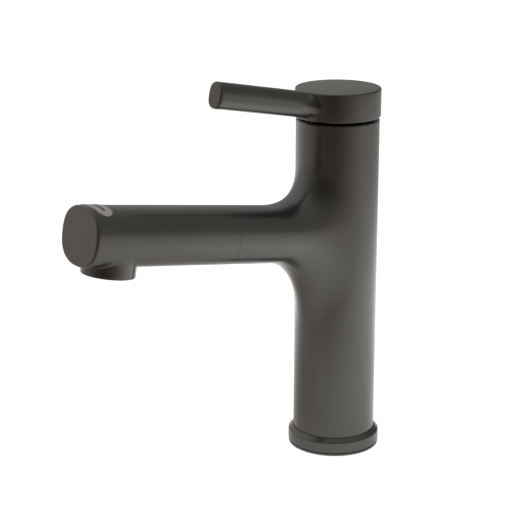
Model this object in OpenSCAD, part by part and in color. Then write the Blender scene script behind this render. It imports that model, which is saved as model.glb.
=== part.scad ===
// Single-lever basin mixer with a pull-out spray spout.
// Origin: centre of the base on the deck. +Z up, the spout points along -Y, X = 0 is its mirror plane.

/* [Column] */
// Outside diameter of the column
body_d = 46; // [44:0.5:52]
// Height of the column's top rim above the deck
body_top = 189.2; // [180:1:215]
// Wall around the long bore that holds the hose and the pipes
lower_wall = 4; // [3.5:0.1:5]
// Wall around the valve
valve_wall = 2.6; // [2:0.1:3]
// Thickness of the solid floor of the column
floor_t = 18; // [16:1:26]
// Chamfer on the top rim
rim_chamfer = 0.5; // [0.2:0.1:1]

/* [Neck between column and spout] */
// Height of the blend above the spout's axis, on the column
neck_rise = 41.5; // [34:0.5:48]
// Depth of the blend below the spout's axis, on the column
neck_drop = 58.5; // [44:0.5:70]
// Half width of the blend where it leaves the column
neck_half_w = 20.7; // [18:0.1:21.5]
// Reach of the blend along the top of the spout
neck_run_top = 27.5; // [18:0.5:34]
// Reach of the blend along the sides of the spout
neck_run_side = 14; // [8:0.5:24]
// Reach of the blend along the underside of the spout
neck_run_under = 31; // [18:0.5:38]
// How closely the blend hugs its corner
neck_fullness = 0.66; // [0.5:0.01:0.75]

/* [Spout and spray head] */
// Drop of the spout's axis below the column's rim, at the column's axis
spout_drop = 65.4; // [62:0.2:80]
// Upward slope of the spout in degrees
spout_rise = 9.25; // [4:0.25:14]
// Width of the rounded-square section
spout_w = 33; // [30:0.1:36]
// Height of the rounded-square section
spout_h = 30.7; // [29:0.1:36]
// Squareness of the section: 2 is an ellipse
spout_n = 2.45; // [2.1:0.01:3]
// Length of the spout from the column's axis to its flat end
spout_len = 170.2; // [160:0.2:200]
// Distance from the column's axis to the joint between collar and spray head
split_at = 79.1; // [74:0.1:88]
// Width of the dark joint lines on the outside
seam_gap = 0.3; // [0.2:0.05:0.6]
// Wall at the sides of the bore through the collar
spout_wall = 4.2; // [4:0.1:4.5]
// Wall of the plastic sleeve in that bore
dock_wall = 2.65; // [2:0.05:3]
// Wall of the spray head's shell
shell_wall = 2.2; // [1.6:0.1:2.6]
// Thickness of the visible end cap
end_cap_t = 1.2; // [1:0.1:4]
// Rounding of the end cap's rim
end_round = 0.5; // [0.2:0.1:1]

/* [Water outlet] */
// Distance from the flat end back to the outlet's axis, along the spout
outlet_back = 19.7; // [18.5:0.1:30]
// Outside diameter of the outlet collar
outlet_d = 28.2; // [27:0.1:29]
// Drop of the collar's lower edge below the spout's axis
outlet_drop = 19.7; // [18:0.1:24]
// Wall of the outlet collar
outlet_wall = 1.3; // [1:0.1:1.6]
// Diameter of the aerator
aerator_d = 15; // [13:0.5:16]
// Number of nozzles around the aerator
nozzle_count = 16; // [10:1:20]
// Diameter of one nozzle
nozzle_d = 1.7; // [1.2:0.1:2.2]

/* [Mode button] */
// Distance from the flat end back to the middle of the button, along the spout
button_back = 8.6; // [8.5:0.1:13]
// Length of the button across the spout
button_l = 22.4; // [14:0.2:24]
// Width of the button along the spout
button_w = 9.4; // [7:0.1:10]
// Width of the long groove in the button
button_slot_w = 2.6; // [1.5:0.1:4]
// Height of the button above the shell
button_proud = 0.3; // [0.1:0.1:0.8]
// Travel of the button
button_travel = 1; // [0.6:0.1:1.4]

/* [Base] */
// Step from the column out to the base ring's wall
ring_step = 2.8; // [1.8:0.1:6]
// Height of the ring's upper edge above the deck
ring_top = 10.7; // [8:0.1:16]
// Thickness of the ring's floor under the column
ring_floor_t = 2.1; // [1.5:0.1:3]
// Ledge under the column's edge
ring_ledge = 2.5; // [2:0.1:4]
// Thickness of the deck gasket
gasket_t = 1.9; // [1.2:0.1:3]
// Setback of the gasket inside the ring's wall
gasket_inset = 0.25; // [0.1:0.05:1]
// Tapping diameter of the fixing stud's hole
stud_d = 6.8; // [5:0.1:8.5]
// Tapping diameter of the three hose sockets
socket_d = 9; // [8.6:0.1:10.5]
// Depth of the three hose sockets
socket_depth = 10; // [8:0.5:12]

/* [Pipes and hose] */
// Outside diameter of the riser pipes
pipe_d = 8; // [7:0.1:8.4]
// Wall of the riser pipes
pipe_wall = 1; // [0.6:0.1:1.5]
// Distance from the bore's side to the axes of the two inlets
inlet_in = 6.4; // [6:0.1:7.5]
// Forward offset of the two inlets
inlet_y = 6; // [4:0.1:8]
// Distance from the bore's side to the axis of the mixed-water pipe
mixed_in = 6.8; // [6.2:0.1:7.5]
// Backward offset of the mixed-water pipe
mixed_y = 6.2; // [5:0.1:7]
// Outside diameter of the spray hose
hose_d = 10.6; // [9:0.1:11]
// Bore of the spray hose
hose_bore = 7; // [5:0.1:7.6]
// Bend radius of the hose's centre line
hose_bend = 45; // [43:1:48]
// Distance from the bore's back to the axis of the hose's upright run
hose_in = 9; // [8:0.1:10]

/* [Valve] */
// Wall of the ring nut around the cartridge
nut_skirt = 2.9; // [2.4:0.1:3.9]
// Depth of the stem's pivot below the column's rim
pivot_depth = 20.5; // [19:0.1:24]
// Length from the pivot to the stem's ball
ball_arm = 9.5; // [8:0.1:11]
// Diameter of the stem's ball
ball_d = 5.7; // [5:0.1:6]
// Side of the stem's square end
stem_sq = 7; // [6:0.1:7.4]
// Thickness of the carrier that joins pipes and cartridge
carrier_t = 11; // [9:0.5:13]
// Thickness of the cartridge's base
cart_base_t = 4; // [3:0.1:5]
// Thickness of the fixed ceramic disc
fixed_disc_t = 3.5; // [2.5:0.1:4]
// Thickness of the moving ceramic disc
moving_disc_t = 3; // [2:0.1:4]
// Thickness of the plastic driver on the moving disc
driver_t = 4.2; // [3.8:0.1:4.6]
// Diameter of the pivot pin
pivot_pin_d = 3; // [2.5:0.1:3.4]
// Diameter of the rotor's neck
rotor_neck_d = 23; // [22:0.1:24]
// Largest lift of the lever in degrees
lift_max = 22; // [10:1:22]

/* [Cap and lever] */
// Overhang of the cap beyond the column
cap_over = 0.6; // [0.4:0.1:4]
// Height of the cap
cap_h = 15.5; // [13:0.1:20]
// Dark gap between the column and the cap
cap_gap = 1.8; // [1.7:0.1:2.6]
// Wall of the cap's skirt
cap_wall = 2.1; // [1.6:0.1:2.2]
// Thickness of the cap's top
cap_top_t = 2.8; // [2:0.1:4]
// Rounding of the cap's upper edge
cap_round = 0.9; // [0.4:0.1:2]
// Drop of the lever's axis below the cap's top, at the cap's axis
lever_drop = 11.85; // [11:0.05:12.5]
// Upward slope of the lever in degrees
lever_rise = 11.55; // [6:0.25:16]
// Width of the lever
lever_w = 11.2; // [8:0.1:14]
// Height of the lever
lever_h = 14.3; // [12:0.1:14.4]
// Squareness of the lever's section
lever_n = 2.58; // [2.1:0.01:3.4]
// Length of the lever from the cap's axis to its flat end
lever_len = 85.8; // [60:0.2:110]
// Thickness of the cap on the lever's end
lever_cap_t = 1.2; // [1:0.1:3]
// Diameter of the grub screw
grub_d = 5; // [4:0.1:6]
// Diameter of the plug over the grub screw
plug_d = 6; // [5.4:0.1:7]

/* [Fits] */
// Radial clearance where a piece seats in another
seat_fit = 0.05; // [0.03:0.01:0.1]
// Radial clearance where a piece turns or slides in another
run_fit = 0.1; // [0.05:0.01:0.2]
// Radial clearance of the hose fittings in the docking sleeve
dock_fit = 0.3; // [0.2:0.05:0.5]

/* [Hidden] */
$fn = 72;
eps = 0.01;
far = 400;

graphite = [0.27, 0.25, 0.24];
pale_grey = [0.62, 0.61, 0.58];
dark_rubber = [0.09, 0.09, 0.09];
raw_brass = [0.78, 0.63, 0.33];
white_pom = [0.86, 0.86, 0.83];
grey_pom = [0.35, 0.36, 0.38];
steel = [0.72, 0.73, 0.75];
ceramic_white = [0.93, 0.92, 0.88];
copper = [0.76, 0.46, 0.32];
cold_blue = [0.25, 0.42, 0.66];

// bores and rings that follow the column
lower_bore_d = body_d - 2 * lower_wall;
valve_bore_d = body_d - 2 * valve_wall;
ring_d = body_d + 2 * ring_step;
ring_hole_d = body_d - 2 * ring_ledge;
cap_d = body_d + 2 * cap_over;
cartridge_d = valve_bore_d - 2 * nut_skirt;
inlet_x = lower_bore_d / 2 - inlet_in;
mixed_x = lower_bore_d / 2 - mixed_in;
hose_y = lower_bore_d / 2 - hose_in;

// levels of the base
foot_z = gasket_t + ring_floor_t;
floor_top = foot_z + floor_t;

// the spout's own frame: x across, y up, z along its axis
spout_z = body_top - spout_drop;
spout_bore_d = spout_w - 2 * spout_wall;
outlet_at = spout_len - outlet_back;
button_at = spout_len - button_back;
sec_a = spout_w / 2;
sec_b = spout_h / 2;
sec_sides = 64;
head_start = split_at + seam_gap;
head_end = spout_len - end_cap_t - seam_gap;
inner_a = sec_a - shell_wall;
inner_b = sec_b - shell_wall;

// valve levels, from the rim downwards
pivot_z = body_top - pivot_depth;
ball_z = pivot_z - ball_arm;
driver_z = ball_z - ball_d / 2 - 0.3;
moving_disc_z = driver_z - moving_disc_t;
fixed_disc_z = moving_disc_z - fixed_disc_t;
cart_base_z = fixed_disc_z - cart_base_t;
seat_z = cart_base_z - carrier_t;

// valve pieces
driver_d = 24;
driver_flat = 10.5;
rotor_flange_z = driver_z + driver_t + 0.3;
rotor_flange_t = 4.2;
rotor_flange_d = cartridge_d - 4.2;
ceiling_z = rotor_flange_z + rotor_flange_t + 0.2;
cart_shoulder_z = pivot_z + 9.3;
cart_top_z = pivot_z + 11.3;
rotor_top_z = pivot_z + 12.3;
cart_neck_d = 28;
nut_top_z = body_top - 2;
nut_skirt_z = cart_shoulder_z - 4;
slot_front = 6.8;
slot_back = 9.6;
slot_half = 4.1;

// cap and lever
cap_z = body_top + cap_gap;
cap_top_z = cap_z + cap_h;
lever_z = cap_top_z - lever_drop;
cap_inner_d = cap_d - 2 * cap_wall;
boss_d = 15;
boss_z = cap_z + 1.8;
stem_top_z = cap_top_z - cap_top_t - 3.2;
grub_z = (boss_z + stem_top_z) / 2;
lever_end = lever_len - lever_cap_t - seam_gap;

// pipe and hose places
cold_at = [-inlet_x, -inlet_y];
hot_at = [inlet_x, -inlet_y];
mixed_at = [mixed_x, mixed_y];
stud_at = [0, -8];
pipe_entry = 6;
pipe_low_z = foot_z + socket_depth + 0.2;
pipe_high_z = seat_z + pipe_entry;
seal_wire = 1.2;
seal_pocket_d = pipe_d + 2 * seal_wire + 0.2;
seal_pocket_t = seal_wire + 0.6;
bend_turn = 90 - spout_rise;
bend_tangent = hose_bend * tan(bend_turn / 2);
hose_corner_z = spout_z - hose_y * tan(spout_rise);
hose_corner_s = -hose_y / cos(spout_rise);
hose_sides = 24;
hose_bend_steps = 12;
guide_bore = hose_d / 2 + 0.8;
guide_wall = 1.4;
tail_low_z = foot_z + 0.4;
tail_top_z = foot_z + 14;
tail_spigot_r = 4;
crimp_wall = 0.5;
crimp_lip = 4;
crimp_len = 8;
barb_len = 13;
water_r = 2.2;
tail_groove_z = foot_z + 4;

// hose fittings inside the collar, measured along the spout
dock_bore = spout_bore_d / 2 - seat_fit - dock_wall;
dock_back = split_at - 45.1;
nipple_end = split_at - 20;
washer_t = 1.5;
collar_t = 2.2;
insert_collar_s = nipple_end - washer_t - collar_t - 0.1;
nut_wall_t = 3.9;
nut_back = insert_collar_s - nut_wall_t - 0.2;
nut_len = 17;
hose_end = nut_back - 0.4;
ferrule_len = 13;
insert_neck_r = 5;
nipple_r = 6.9;
barrel_len = 9.3;
inlet_bore_r = 4;
thread_r = 6;
thread_len = 9;

// spray head
core_r = 8;
chamber_r = outlet_d / 2 - outlet_wall - 1.2;
chamber_top = 5;
chamber_roof = 2.5;
face_y = -outlet_drop;
chamber_low = -12.9;
cavity_r = outlet_d / 2 - outlet_wall;
cavity_top = -5.8;
plate_top = -9.4;
plate_y = face_y + 0.4;
plate_t = 2;
nozzle_ring_r = (aerator_d / 2 + cavity_r) / 2;
mat_t = 1.2;
spool_at = button_at - 2.7;
spool_r = 2.95;
spool_boss_r = 4.3;
spool_low = -7;
button_rest_low = 11.2;
seat_floor = button_rest_low - button_travel - 1.6;
seat_floor_t = 1.7;
stem_r = 1.9;
spool_top = seat_floor - seat_floor_t - 0.1;
spring_wire = 0.45;
spring_r = stem_r + 1;

function superellipse(a, b, n, count) = [
    for (i = [0:count - 1])
        let (t = 360 * i / count, c = cos(t), s = sin(t))
        [a * sign(c) * pow(abs(c), 2 / n), b * sign(s) * pow(abs(s), 2 / n)]
];
function mix(a, b, f) = a + (b - a) * f;
function bezier(p, q, r, s, f) =
    pow(1 - f, 3) * p + 3 * pow(1 - f, 2) * f * q + 3 * (1 - f) * f * f * r + pow(f, 3) * s;
function unit(v) = v / norm(v);

module in_spout() translate([0, 0, spout_z]) rotate([90 - spout_rise, 0, 0]) children();
module in_lever() translate([0, 0, lever_z]) rotate([90 - lever_rise, 0, 0]) children();

// stands a shape on the spout's axis: its z becomes the spout's up direction
module upright(at, y) translate([0, y, at]) rotate([-90, 0, 0]) children();

module tube(outer_r, inner_r, h) difference() {
    cylinder(r = outer_r, h = h);
    translate([0, 0, -eps]) cylinder(r = inner_r, h = h + 2 * eps);
}

module ring_seal(centre_r, wire_r) rotate_extrude() translate([centre_r, 0]) circle(r = wire_r, $fn = 24);

// skin between rings of equal count, closed at both ends
module loft(rings) {
    count = len(rings[0]);
    last = len(rings) - 1;
    points = [for (ring = rings) each ring];
    sides = [for (k = [0:last - 1], i = [0:count - 1])
        let (j = (i + 1) % count)
        each [[k * count + i, (k + 1) * count + i, k * count + j],
              [k * count + j, (k + 1) * count + i, (k + 1) * count + j]]];
    low = [for (i = [0:count - 1]) i];
    high = [for (i = [0:count - 1]) last * count + count - 1 - i];
    polyhedron(points, concat([low], sides, [high]), convexity = 6);
}

function section_ring(a, b, n, z) = [for (p = superellipse(a, b, n, sec_sides)) [p[0], p[1], z]];

// a plug with the spout's section and a rounded front rim
module rounded_plate(a, b, n, z0, z1, r) loft([
    section_ring(a, b, n, z0),
    section_ring(a, b, n, z1 - r),
    section_ring(a - r * 0.13, b - r * 0.13, n, z1 - r * 0.5),
    section_ring(a - r * 0.5, b - r * 0.5, n, z1 - r * 0.13),
    section_ring(a - r, b - r, n, z1)
]);

module section_prism(a, b, n, z0, z1) translate([0, 0, z0]) linear_extrude(z1 - z0)
    polygon(superellipse(a, b, n, sec_sides));

module stadium(l, w, h) {
    for (side = [-1, 1]) translate([side * (l - w) / 2, 0, 0]) cylinder(d = w, h = h);
    translate([-(l - w) / 2, -w / 2, 0]) cube([l - w, w, h]);
}

// straight channel with round ends
module channel(p, q, r, h) {
    d = q - p;
    for (c = [p, q]) translate([c[0], c[1], 0]) cylinder(r = r, h = h);
    translate([p[0], p[1], 0]) rotate([0, 0, atan2(d[1], d[0])]) translate([0, -r, 0]) cube([norm(d), 2 * r, h]);
}

// ---- neck: each line starts on the spout, leaves it along the axis and lands flat on the column
body_r = body_d / 2;
neck_steps = 12;
neck_bury = 2;
neck_sink = 0.3;
root_z = body_r * tan(spout_rise);
function to_part(p) = [
    p[0],
    -p[2] * cos(spout_rise) + p[1] * sin(spout_rise),
    p[2] * sin(spout_rise) + p[1] * cos(spout_rise)
];
function on_column(x, z) = [x, -sqrt(body_r * body_r - x * x), z] - [0, -neck_sink, 0];
function neck_line(t) =
    let (c = cos(t), s = sin(t), k = 2 / spout_n,
         x = sec_a * sign(c) * pow(abs(c), k), w = sec_b * sign(s) * pow(abs(s), k),
         y = -sqrt(body_r * body_r - x * x),
         s0 = (w * sin(spout_rise) - y) / cos(spout_rise),
         run = mix(neck_run_side, s > 0 ? neck_run_top : neck_run_under, s * s),
         start = to_part([x, w, split_at]),
         leave = to_part([x, w, s0 + run]),
         corner = to_part([x, w, s0]),
         land = on_column(neck_half_w * sign(c) * pow(abs(c), 0.885),
                          root_z + (s > 0 ? neck_rise : neck_drop) * sign(s) * pow(abs(s), 0.885)),
         out = unit([land[0], land[1] - neck_sink, 0]),
         pull = corner - land,
         flat = unit(pull - out * (pull * out)) * norm(pull),
         q = leave + neck_fullness * (corner - leave),
         r = land + neck_fullness * flat)
    concat([start], [for (i = [0:neck_steps]) bezier(leave, q, r, land, i / neck_steps)], [land - out * neck_bury]);

module neck() {
    lines = [for (i = [0:sec_sides - 1]) neck_line(360 * i / sec_sides)];
    rings = len(lines[0]);
    points = concat([for (k = [0:rings - 1], i = [0:sec_sides - 1]) lines[i][k]], [[0, 0, root_z]]);
    tip = len(points) - 1;
    sides = [for (k = [0:rings - 2], i = [0:sec_sides - 1])
        let (j = (i + 1) % sec_sides)
        each [[k * sec_sides + i, k * sec_sides + j, (k + 1) * sec_sides + i],
              [k * sec_sides + j, (k + 1) * sec_sides + j, (k + 1) * sec_sides + i]]];
    mouth = [for (i = [sec_sides - 1:-1:0]) i];
    back = [for (i = [0:sec_sides - 1])
        [(rings - 1) * sec_sides + i, (rings - 1) * sec_sides + (i + 1) % sec_sides, tip]];
    translate([0, 0, spout_z]) polyhedron(points, concat([mouth], sides, back), convexity = 8);
}

module floor_sockets() {
    for (at = [cold_at, hot_at, mixed_at]) translate([at[0], at[1], foot_z]) {
        translate([0, 0, -1]) cylinder(d = socket_d, h = socket_depth + 1);
        cylinder(r = pipe_d / 2 + seat_fit, h = floor_t + 1);
        translate([0, 0, floor_t - seal_pocket_t]) cylinder(d = seal_pocket_d, h = seal_pocket_t + 1);
    }
    translate([stud_at[0], stud_at[1], foot_z - 1]) cylinder(d = stud_d, h = floor_t + 2);
    translate([0, hose_y, foot_z - 1]) cylinder(r = guide_bore + guide_wall + seat_fit, h = floor_t + 2);
}

module body_casting() color(graphite) difference() {
    union() {
        translate([0, 0, foot_z]) cylinder(d = body_d, h = body_top - rim_chamfer - foot_z);
        translate([0, 0, body_top - rim_chamfer])
            rotate_extrude() polygon([[0, 0], [body_r, 0], [body_r - rim_chamfer, rim_chamfer], [0, rim_chamfer]]);
        neck();
    }
    translate([0, 0, floor_top]) cylinder(d = lower_bore_d, h = seat_z - floor_top + eps);
    translate([0, 0, seat_z]) cylinder(d = valve_bore_d, h = body_top - seat_z + 1);
    in_spout() cylinder(d = spout_bore_d, h = split_at + 1);
    floor_sockets();
}

module base_ring() color(graphite) {
    rim_r = ring_d / 2;
    inner_r = body_r + seat_fit;
    shoulder = rim_r - inner_r;
    rotate_extrude() difference() {
        union() {
            translate([ring_hole_d / 2, gasket_t]) square([rim_r - ring_hole_d / 2, ring_top - shoulder - gasket_t]);
            intersection() {
                translate([inner_r, ring_top - shoulder]) circle(r = shoulder);
                translate([inner_r, ring_top - shoulder - eps]) square([shoulder, shoulder + eps]);
            }
        }
        translate([ring_hole_d / 2 - 1, foot_z]) square([inner_r - ring_hole_d / 2 + 1, far]);
    }
}

module base_gasket() color(pale_grey)
    tube(ring_d / 2 - gasket_inset, ring_hole_d / 2, gasket_t);

module hose_guide() color(white_pom) translate([0, hose_y, foot_z + 0.5]) difference() {
    union() {
        cylinder(r = guide_bore + guide_wall, h = floor_t);
        translate([0, 0, floor_t - 0.5]) cylinder(r = guide_bore + guide_wall + 0.5, h = 1.5);
    }
    translate([0, 0, -1]) cylinder(r = guide_bore, h = floor_t + 4);
}

// centre line of the hose: up the column, one bend, then along the spout; each stop is [y, z, turn]
hose_rise_z = hose_corner_z - bend_tangent;
hose_stops = concat(
    [[hose_y, tail_top_z, 0]],
    [for (i = [0:hose_bend_steps])
        let (a = bend_turn * i / hose_bend_steps)
        [hose_y - hose_bend * (1 - cos(a)), hose_rise_z + hose_bend * sin(a), a]],
    [[-hose_end * cos(spout_rise), spout_z + hose_end * sin(spout_rise), bend_turn]]
);
function hose_ring(stop, r) = [
    for (k = [0:hose_sides - 1])
        let (w = 360 * k / hose_sides, u = r * cos(w))
        [r * sin(w), stop[0] - u * cos(stop[2]), stop[1] - u * sin(stop[2])]
];

module spray_hose() color(grey_pom) {
    stops = len(hose_stops);
    outer = [for (stop = hose_stops) each hose_ring(stop, hose_d / 2)];
    inner = [for (stop = hose_stops) each hose_ring(stop, hose_bore / 2)];
    far_side = stops * hose_sides;
    last = (stops - 1) * hose_sides;
    walls = [for (s = [0:stops - 2], k = [0:hose_sides - 1])
        let (j = (k + 1) % hose_sides, a = s * hose_sides, b = a + hose_sides)
        each [[a + k, a + j, b + j, b + k], [far_side + a + j, far_side + a + k, far_side + b + k, far_side + b + j]]];
    ends = [for (k = [0:hose_sides - 1])
        let (j = (k + 1) % hose_sides)
        each [[far_side + k, far_side + j, j, k], [last + k, last + j, far_side + last + j, far_side + last + k]]];
    polyhedron(concat(outer, inner), concat(walls, ends), convexity = 6);
}

module hose_tail() color(raw_brass) translate([0, hose_y, 0]) difference() {
    union() {
        translate([0, 0, tail_low_z]) cylinder(r = tail_spigot_r, h = tail_top_z - tail_low_z - 0.2);
        translate([0, 0, tail_top_z - crimp_lip]) cylinder(r = hose_d / 2, h = crimp_lip - 0.1);
        translate([0, 0, tail_top_z - 1]) cylinder(r = hose_bore / 2 - 0.1, h = barb_len);
        translate([0, 0, tail_top_z - crimp_lip]) tube(hose_d / 2 + crimp_wall, hose_d / 2 + seat_fit, crimp_lip + crimp_len);
        translate([0, 0, tail_top_z - crimp_lip]) tube(hose_d / 2 + crimp_wall, hose_d / 2 - 0.5, 1);
    }
    translate([0, 0, -1]) cylinder(r = water_r, h = far);
    translate([0, 0, tail_groove_z - 0.8]) tube(tail_spigot_r + 1, tail_spigot_r - 0.9, 1.6);
}

module tail_seals() color(dark_rubber) translate([0, hose_y, tail_groove_z])
    ring_seal(tail_spigot_r - 0.05, 0.75);

module riser(at, tint) color(tint) translate([at[0], at[1], pipe_low_z])
    tube(pipe_d / 2, pipe_d / 2 - pipe_wall, pipe_high_z - pipe_low_z);

module cold_pipe() riser(cold_at, copper);
module hot_pipe() riser(hot_at, copper);
module mixed_pipe() riser(mixed_at, copper);

module pipe_seals() color(dark_rubber)
    for (at = [cold_at, hot_at, mixed_at], z = [floor_top - seal_pocket_t / 2, seat_z + seal_pocket_t / 2])
        translate([at[0], at[1], z]) ring_seal(pipe_d / 2 + seal_wire / 2 + 0.02, seal_wire / 2);

// ports of the cartridge, seen from above
inlet_port = [6.2, -4];
outlet_port = [1.5, 6.6];
port_r = 3;
cold_port = [-inlet_port[0], inlet_port[1]];
port_seal_r = port_r + 0.9;
locate_pin_at = [-8, 9.5];

module valve_carrier() color(white_pom) translate([0, 0, seat_z]) difference() {
    cylinder(r = valve_bore_d / 2 - run_fit, h = carrier_t);
    for (at = [cold_at, hot_at, mixed_at]) translate([at[0], at[1], -1]) {
        cylinder(r = pipe_d / 2 + seat_fit, h = pipe_entry + 1);
        cylinder(d = seal_pocket_d, h = seal_pocket_t + 1);
    }
    for (pair = [[cold_at, cold_port], [hot_at, inlet_port], [mixed_at, outlet_port]])
        translate([0, 0, pipe_entry - eps]) channel(pair[0], pair[1], port_r, carrier_t - pipe_entry - 1.5);
    for (at = [cold_port, inlet_port, outlet_port]) translate([at[0], at[1], pipe_entry]) cylinder(r = port_r, h = carrier_t);
    for (side = [-1, 1]) translate(side * locate_pin_at) translate([0, 0, carrier_t - 2.5]) cylinder(d = 3.2, h = 4);
}

module cartridge_ports(h) for (at = [cold_port, inlet_port, outlet_port])
    translate([at[0], at[1], 0]) cylinder(r = port_r, h = h);

module cartridge_base() color(grey_pom) translate([0, 0, cart_base_z]) difference() {
    union() {
        cylinder(d = cartridge_d, h = cart_base_t);
        for (side = [-1, 1]) translate(side * locate_pin_at) translate([0, 0, -2]) cylinder(d = 3, h = 3);
    }
    translate([0, 0, -3]) cartridge_ports(far);
    for (at = [cold_port, inlet_port, outlet_port]) translate([at[0], at[1], -eps])
        tube(port_seal_r + 0.7, port_r - eps, 1.2);
}

module port_seals() color(dark_rubber) for (at = [cold_port, inlet_port, outlet_port])
    translate([at[0], at[1], cart_base_z + 0.6]) ring_seal(port_seal_r, 0.58);

module fixed_disc() color(ceramic_white) translate([0, 0, fixed_disc_z]) difference() {
    cylinder(d = cartridge_d - 3.6, h = fixed_disc_t);
    translate([0, 0, -1]) cartridge_ports(far);
}

module disc_outline(h) intersection() {
    cylinder(d = driver_d, h = h);
    translate([-driver_flat, -driver_d / 2, 0]) cube([2 * driver_flat, driver_d, h]);
}

module moving_disc() color(ceramic_white) translate([0, 0, moving_disc_z]) difference() {
    disc_outline(moving_disc_t);
    translate([0, 0, -eps]) channel([-3, 2.5], [3, 2.5], 4, moving_disc_t * 0.55);
}

module disc_driver() color(grey_pom) translate([0, 0, driver_z]) difference() {
    disc_outline(driver_t);
    translate([0, 0, -1]) cylinder(r = ball_d / 2 + 0.15, h = driver_t + 2);
}

module cartridge_housing() color(white_pom) difference() {
    union() {
        translate([0, 0, fixed_disc_z]) cylinder(d = cartridge_d, h = cart_shoulder_z - fixed_disc_z);
        translate([0, 0, cart_shoulder_z - 1]) cylinder(d = cart_neck_d, h = cart_top_z - cart_shoulder_z + 1);
    }
    translate([0, 0, fixed_disc_z - 1]) cylinder(d = cartridge_d - 3.4, h = ceiling_z - fixed_disc_z + 1);
    translate([0, 0, fixed_disc_z]) cylinder(r = rotor_neck_d / 2 + run_fit, h = far);
}

module retaining_nut() color(raw_brass) difference() {
    translate([0, 0, nut_skirt_z]) cylinder(r = valve_bore_d / 2 - run_fit, h = nut_top_z - nut_skirt_z);
    translate([0, 0, nut_skirt_z - 1])
        cylinder(r = cartridge_d / 2 + run_fit, h = cart_shoulder_z - nut_skirt_z + 1);
    translate([0, 0, nut_skirt_z]) cylinder(r = cart_neck_d / 2 + run_fit, h = far);
    for (turn = [0:90:270]) rotate([0, 0, turn + 45])
        translate([cart_neck_d / 2 + 2, -2, nut_top_z - 3]) cube([far, 4, far]);
}

module stem_rotor() color(grey_pom) difference() {
    union() {
        translate([0, 0, rotor_flange_z]) cylinder(d = rotor_flange_d, h = rotor_flange_t);
        translate([0, 0, rotor_flange_z]) cylinder(d = rotor_neck_d, h = rotor_top_z - rotor_flange_z);
        intersection() {
            translate([0, 0, driver_z + 0.3]) cylinder(d = rotor_flange_d, h = driver_t);
            for (side = [-1, 1]) translate([side * (driver_flat + run_fit + far / 2), 0, driver_z])
                cube([far, 16, far], center = true);
        }
    }
    translate([-slot_half, -slot_front, rotor_flange_z - 1])
        cube([2 * slot_half, slot_front + slot_back, far]);
    translate([-far / 2, 0, pivot_z]) rotate([0, 90, 0]) cylinder(r = pivot_pin_d / 2 + 0.02, h = far);
}

module pivot_pin() color(steel) translate([-rotor_neck_d / 2 + 0.5, 0, pivot_z]) rotate([0, 90, 0])
    cylinder(d = pivot_pin_d, h = rotor_neck_d - 1);

module cartridge_stem() color(raw_brass) difference() {
    union() {
        translate([0, 0, ball_z]) sphere(d = ball_d);
        translate([0, 0, ball_z]) cylinder(r = 2, h = ball_arm);
        translate([-slot_half + run_fit, 0, pivot_z]) rotate([0, 90, 0]) cylinder(r = 4.2, h = 2 * (slot_half - run_fit));
        translate([-stem_sq / 2, -stem_sq / 2, pivot_z]) cube([stem_sq, stem_sq, stem_top_z - pivot_z]);
    }
    translate([-far / 2, 0, pivot_z]) rotate([0, 90, 0]) cylinder(r = pivot_pin_d / 2 + seat_fit, h = far);
}

module cap_profile() {
    outer_r = cap_d / 2;
    difference() {
        union() {
            translate([0, cap_z]) square([outer_r, cap_h - cap_round]);
            translate([0, cap_z]) square([outer_r - cap_round, cap_h]);
            translate([outer_r - cap_round, cap_top_z - cap_round]) circle(r = cap_round, $fn = 48);
        }
        translate([-1, cap_z - 1]) square([cap_inner_d / 2 + 1, cap_h - cap_top_t + 1]);
        translate([-far, 0]) square([far, far]);
    }
}

module handle_lever() color(graphite) difference() {
    union() {
        rotate_extrude($fn = 120) cap_profile();
        translate([0, 0, boss_z]) cylinder(d = boss_d, h = cap_top_z - cap_top_t - boss_z + eps);
        intersection() {
            in_lever() section_prism(lever_w / 2, lever_h / 2, lever_n, (cap_inner_d / 2 - 1.5) / cos(lever_rise), lever_end);
            translate([-far / 2, -far, 0]) cube([far, far, far]);
        }
    }
    translate([-stem_sq / 2 - seat_fit, -stem_sq / 2 - seat_fit, boss_z - 1])
        cube([stem_sq + 2 * seat_fit, stem_sq + 2 * seat_fit, stem_top_z - boss_z + 1.2]);
    translate([0, 0, grub_z]) rotate([-90, 0, 0]) cylinder(r = grub_d / 2 + seat_fit, h = cap_d / 2 - 2);
    translate([0, cap_inner_d / 2 - 1, grub_z]) rotate([-90, 0, 0]) cylinder(r = plug_d / 2 + seat_fit, h = far);
    in_lever() translate([0, 0, lever_end - 7]) cylinder(d = 6 + 2 * seat_fit, h = 10);
}

module lever_end_cap() color(graphite) in_lever() {
    rounded_plate(lever_w / 2, lever_h / 2, lever_n, lever_end + seam_gap, lever_len, 0.4);
    translate([0, 0, lever_end - 6.5]) cylinder(d = 6, h = 6.5 + seam_gap + eps);
    section_prism(lever_w / 2 - 0.8, lever_h / 2 - 0.8, lever_n, lever_end, lever_end + seam_gap + eps);
}

module grub_screw() color(steel) translate([0, stem_sq / 2 + 0.02, grub_z]) rotate([-90, 0, 0]) difference() {
    cylinder(d = grub_d, h = 6);
    translate([0, 0, 3.5]) cylinder(d = 2.9, h = 4, $fn = 6);
}

module index_plug() color(graphite) difference() {
    translate([0, cap_inner_d / 2 - 0.8, grub_z]) rotate([-90, 0, 0]) cylinder(d = plug_d, h = 10);
    difference() {
        translate([0, 0, cap_z - 1]) cylinder(d = 2 * cap_d, h = cap_h + 2);
        translate([0, 0, cap_z - 2]) cylinder(d = cap_d - 0.1, h = cap_h + 4);
    }
}

module docking_sleeve() color(grey_pom) in_spout() translate([0, 0, dock_back])
    tube(spout_bore_d / 2 - seat_fit, dock_bore, split_at - dock_back - 0.2);

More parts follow.
